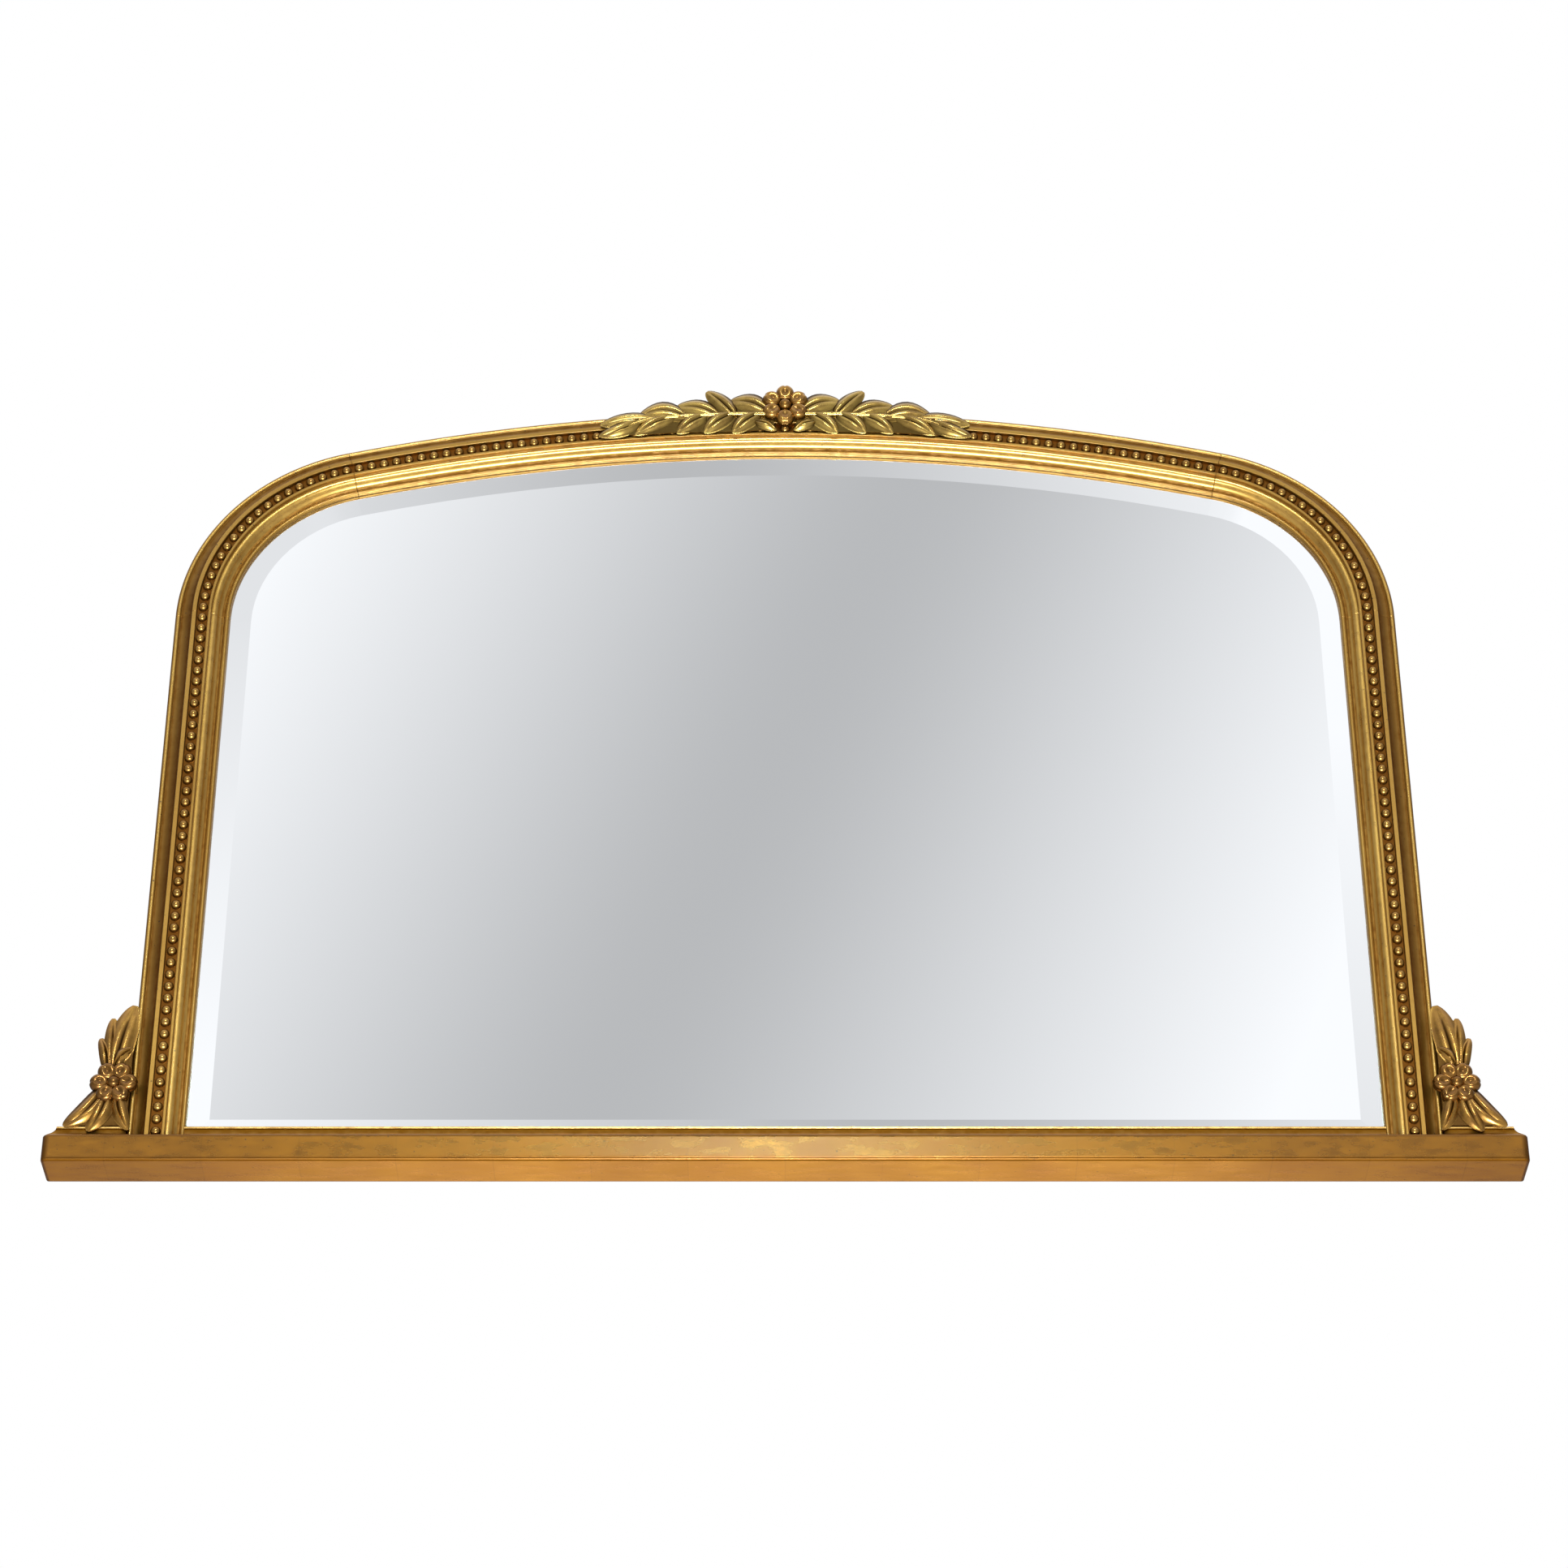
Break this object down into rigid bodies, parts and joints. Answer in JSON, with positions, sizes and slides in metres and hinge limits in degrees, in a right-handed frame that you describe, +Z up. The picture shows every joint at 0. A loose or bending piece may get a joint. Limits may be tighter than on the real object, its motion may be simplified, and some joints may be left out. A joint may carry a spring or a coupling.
{
  "type": "wall mirror",
  "caption": "Arched gilt overmantel wall mirror with bevelled glass in a beaded moulding, a plank base, leaf and flower ornaments, and swinging D-ring hangers on its back.",
  "frame": {"origin": "middle of the base's lower back edge, where a shelf would meet the wall", "axes": "+Y towards the wall, +Z up, +X to the right of someone facing the mirror; the front faces -Y"},
  "size_m": [1.27, 0.0466, 0.8365],
  "materials": {
    "gilt_moulding": "gold leaf over wood, worn on the edges",
    "gilt_base": "gold leaf over wood, with lap lines",
    "gilt_beads": "gold leaf over moulded composition",
    "gilt_ornament": "gold leaf over moulded composition",
    "mirror": "silvered, polished, bevelled edge",
    "board": "bare hardboard",
    "beech": "bare beech",
    "cork": "cork",
    "hanger_steel": "nickel-plated",
    "screw_steel": "zinc-plated"
  },
  "bodies": {
    "frame": {"base_rail": "gilt_base", "base_cap_centre": "gilt_base", "base_cap_left": "gilt_base", "base_cap_right": "gilt_base", "left_stile": "gilt_moulding", "right_stile": "gilt_moulding", "left_shoulder": "gilt_moulding", "right_shoulder": "gilt_moulding", "head_rail": "gilt_moulding", "joint_dowels": "beech", "left_stile_beads": "gilt_beads", "right_stile_beads": "gilt_beads", "left_shoulder_beads": "gilt_beads", "right_shoulder_beads": "gilt_beads", "head_beads": "gilt_beads", "mirror_glass": "mirror", "glass_setting_pads": "cork", "back_board": "board", "back_board_screws": "screw_steel", "crest_flower": "gilt_ornament", "crest_spray_left": "gilt_ornament", "crest_spray_right": "gilt_ornament", "corner_flower_left": "gilt_ornament", "corner_flower_right": "gilt_ornament", "corner_spray_left": "gilt_ornament", "corner_spray_right": "gilt_ornament", "hanger_strap_left": "hanger_steel", "hanger_strap_right": "hanger_steel", "hanger_screws": "screw_steel"},
    "ring_left": {"hanger_ring_left": "hanger_steel"},
    "ring_right": {"hanger_ring_right": "hanger_steel"}
  },
  "joints": [
    {"name": "ring_left_swing", "type": "hinge", "parent": "frame", "child": "ring_left", "pos_m": [-0.5515, -0.00385, 0.52207], "axis": [1, 0, 0], "range_deg": [0, 180]},
    {"name": "ring_right_swing", "type": "hinge", "parent": "frame", "child": "ring_right", "pos_m": [0.5515, -0.00385, 0.52207], "axis": [1, 0, 0], "range_deg": [0, 180]}
  ]
}
